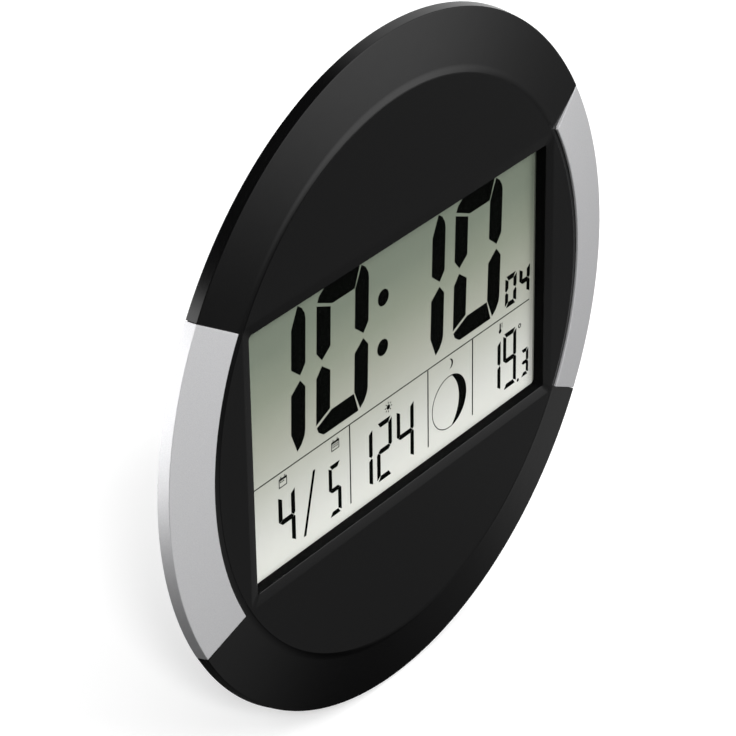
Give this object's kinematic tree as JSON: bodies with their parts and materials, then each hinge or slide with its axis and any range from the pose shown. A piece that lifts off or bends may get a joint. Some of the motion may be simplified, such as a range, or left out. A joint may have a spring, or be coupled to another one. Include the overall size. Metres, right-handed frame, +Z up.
{
  "type": "digital wall clock",
  "caption": "Round digital wall clock with a raised disc around a wide reflective display, silver side trims, a shallow rear dish, a hinged battery door and push keys.",
  "frame": {"origin": "centre of the flat back, on the plane of the wall", "axes": "+Y into the wall, so the face looks along -Y; +X to the right of someone facing the clock; +Z up"},
  "size_m": [0.3, 0.0309, 0.3],
  "materials": {
    "black_housing": "black, satin gloss",
    "rear_plastic": "black, fine texture",
    "silver_trim": "silver paint, satin",
    "clear_sheet": "clear polished sheet",
    "display_glass": "polarised display glass",
    "reflector_foil": "diffuse grey-green foil",
    "white_plastic": "off-white, smooth",
    "strip_rubber": "grey silicone",
    "board_green": "green coated board",
    "epoxy_black": "black resin",
    "bright_metal": "zinc plated",
    "contact_metal": "nickel plated",
    "cell_sleeve": "plain printed sleeve",
    "wire_red": "soft sleeve",
    "wire_black": "soft sleeve",
    "button_plastic": "black, satin"
  },
  "bodies": {
    "housing": {"front_housing": "black_housing", "rear_housing": "rear_plastic", "side_trim_left": "silver_trim", "side_trim_right": "silver_trim", "window_lens": "clear_sheet", "lcd_front_glass": "display_glass", "lcd_rear_glass": "display_glass", "lcd_reflector": "reflector_foil", "lcd_holder": "white_plastic", "contact_strip": "strip_rubber", "main_board": "board_green", "controller_blob": "epoxy_black", "quartz_crystal": "bright_metal", "board_capacitor": "epoxy_black", "temperature_sensor": "epoxy_black", "battery_upper": "cell_sleeve", "battery_lower": "cell_sleeve", "contact_bridge": "contact_metal", "contact_positive": "contact_metal", "contact_negative": "contact_metal", "contact_spring_upper": "contact_metal", "contact_spring_lower": "contact_metal", "wire_positive": "wire_red", "wire_negative": "wire_black", "board_screw_1": "bright_metal", "holder_screw_1": "bright_metal", "board_screw_2": "bright_metal", "holder_screw_2": "bright_metal", "board_screw_3": "bright_metal", "holder_screw_3": "bright_metal", "board_screw_4": "bright_metal", "holder_screw_4": "bright_metal", "housing_screw_1": "bright_metal", "housing_screw_2": "bright_metal", "housing_screw_3": "bright_metal", "housing_screw_4": "bright_metal", "housing_screw_5": "bright_metal", "housing_screw_6": "bright_metal", "switch_mode": "epoxy_black", "switch_set": "epoxy_black", "switch_up": "epoxy_black", "switch_down": "epoxy_black", "switch_reset": "epoxy_black"},
    "door": {"battery_door": "rear_plastic"},
    "mode_key": {"button_mode": "button_plastic", "plunger_mode": "strip_rubber"},
    "set_key": {"button_set": "button_plastic", "plunger_set": "strip_rubber"},
    "up_key": {"button_up": "button_plastic", "plunger_up": "strip_rubber"},
    "down_key": {"button_down": "button_plastic", "plunger_down": "strip_rubber"},
    "reset_key": {"button_reset": "button_plastic", "plunger_reset": "strip_rubber"}
  },
  "joints": [
    {"name": "battery_door_hinge", "type": "hinge", "parent": "housing", "child": "door", "pos_m": [0, -0.0013, -0.0552], "axis": [-1, 0, 0], "range_deg": [0, 90]},
    {"name": "mode_press", "type": "slide", "parent": "housing", "child": "mode_key", "axis": [0, -1, 0], "range_m": [0, 0.0008], "stiffness_N_per_m": 1200, "springref_m": -0.0002},
    {"name": "set_press", "type": "slide", "parent": "housing", "child": "set_key", "axis": [0, -1, 0], "range_m": [0, 0.0008], "stiffness_N_per_m": 1200, "springref_m": -0.0002},
    {"name": "up_press", "type": "slide", "parent": "housing", "child": "up_key", "axis": [0, -1, 0], "range_m": [0, 0.0008], "stiffness_N_per_m": 1200, "springref_m": -0.0002},
    {"name": "down_press", "type": "slide", "parent": "housing", "child": "down_key", "axis": [0, -1, 0], "range_m": [0, 0.0008], "stiffness_N_per_m": 1200, "springref_m": -0.0002},
    {"name": "reset_press", "type": "slide", "parent": "housing", "child": "reset_key", "axis": [0, -1, 0], "range_m": [0, 0.0008], "stiffness_N_per_m": 1200, "springref_m": -0.0002}
  ]
}
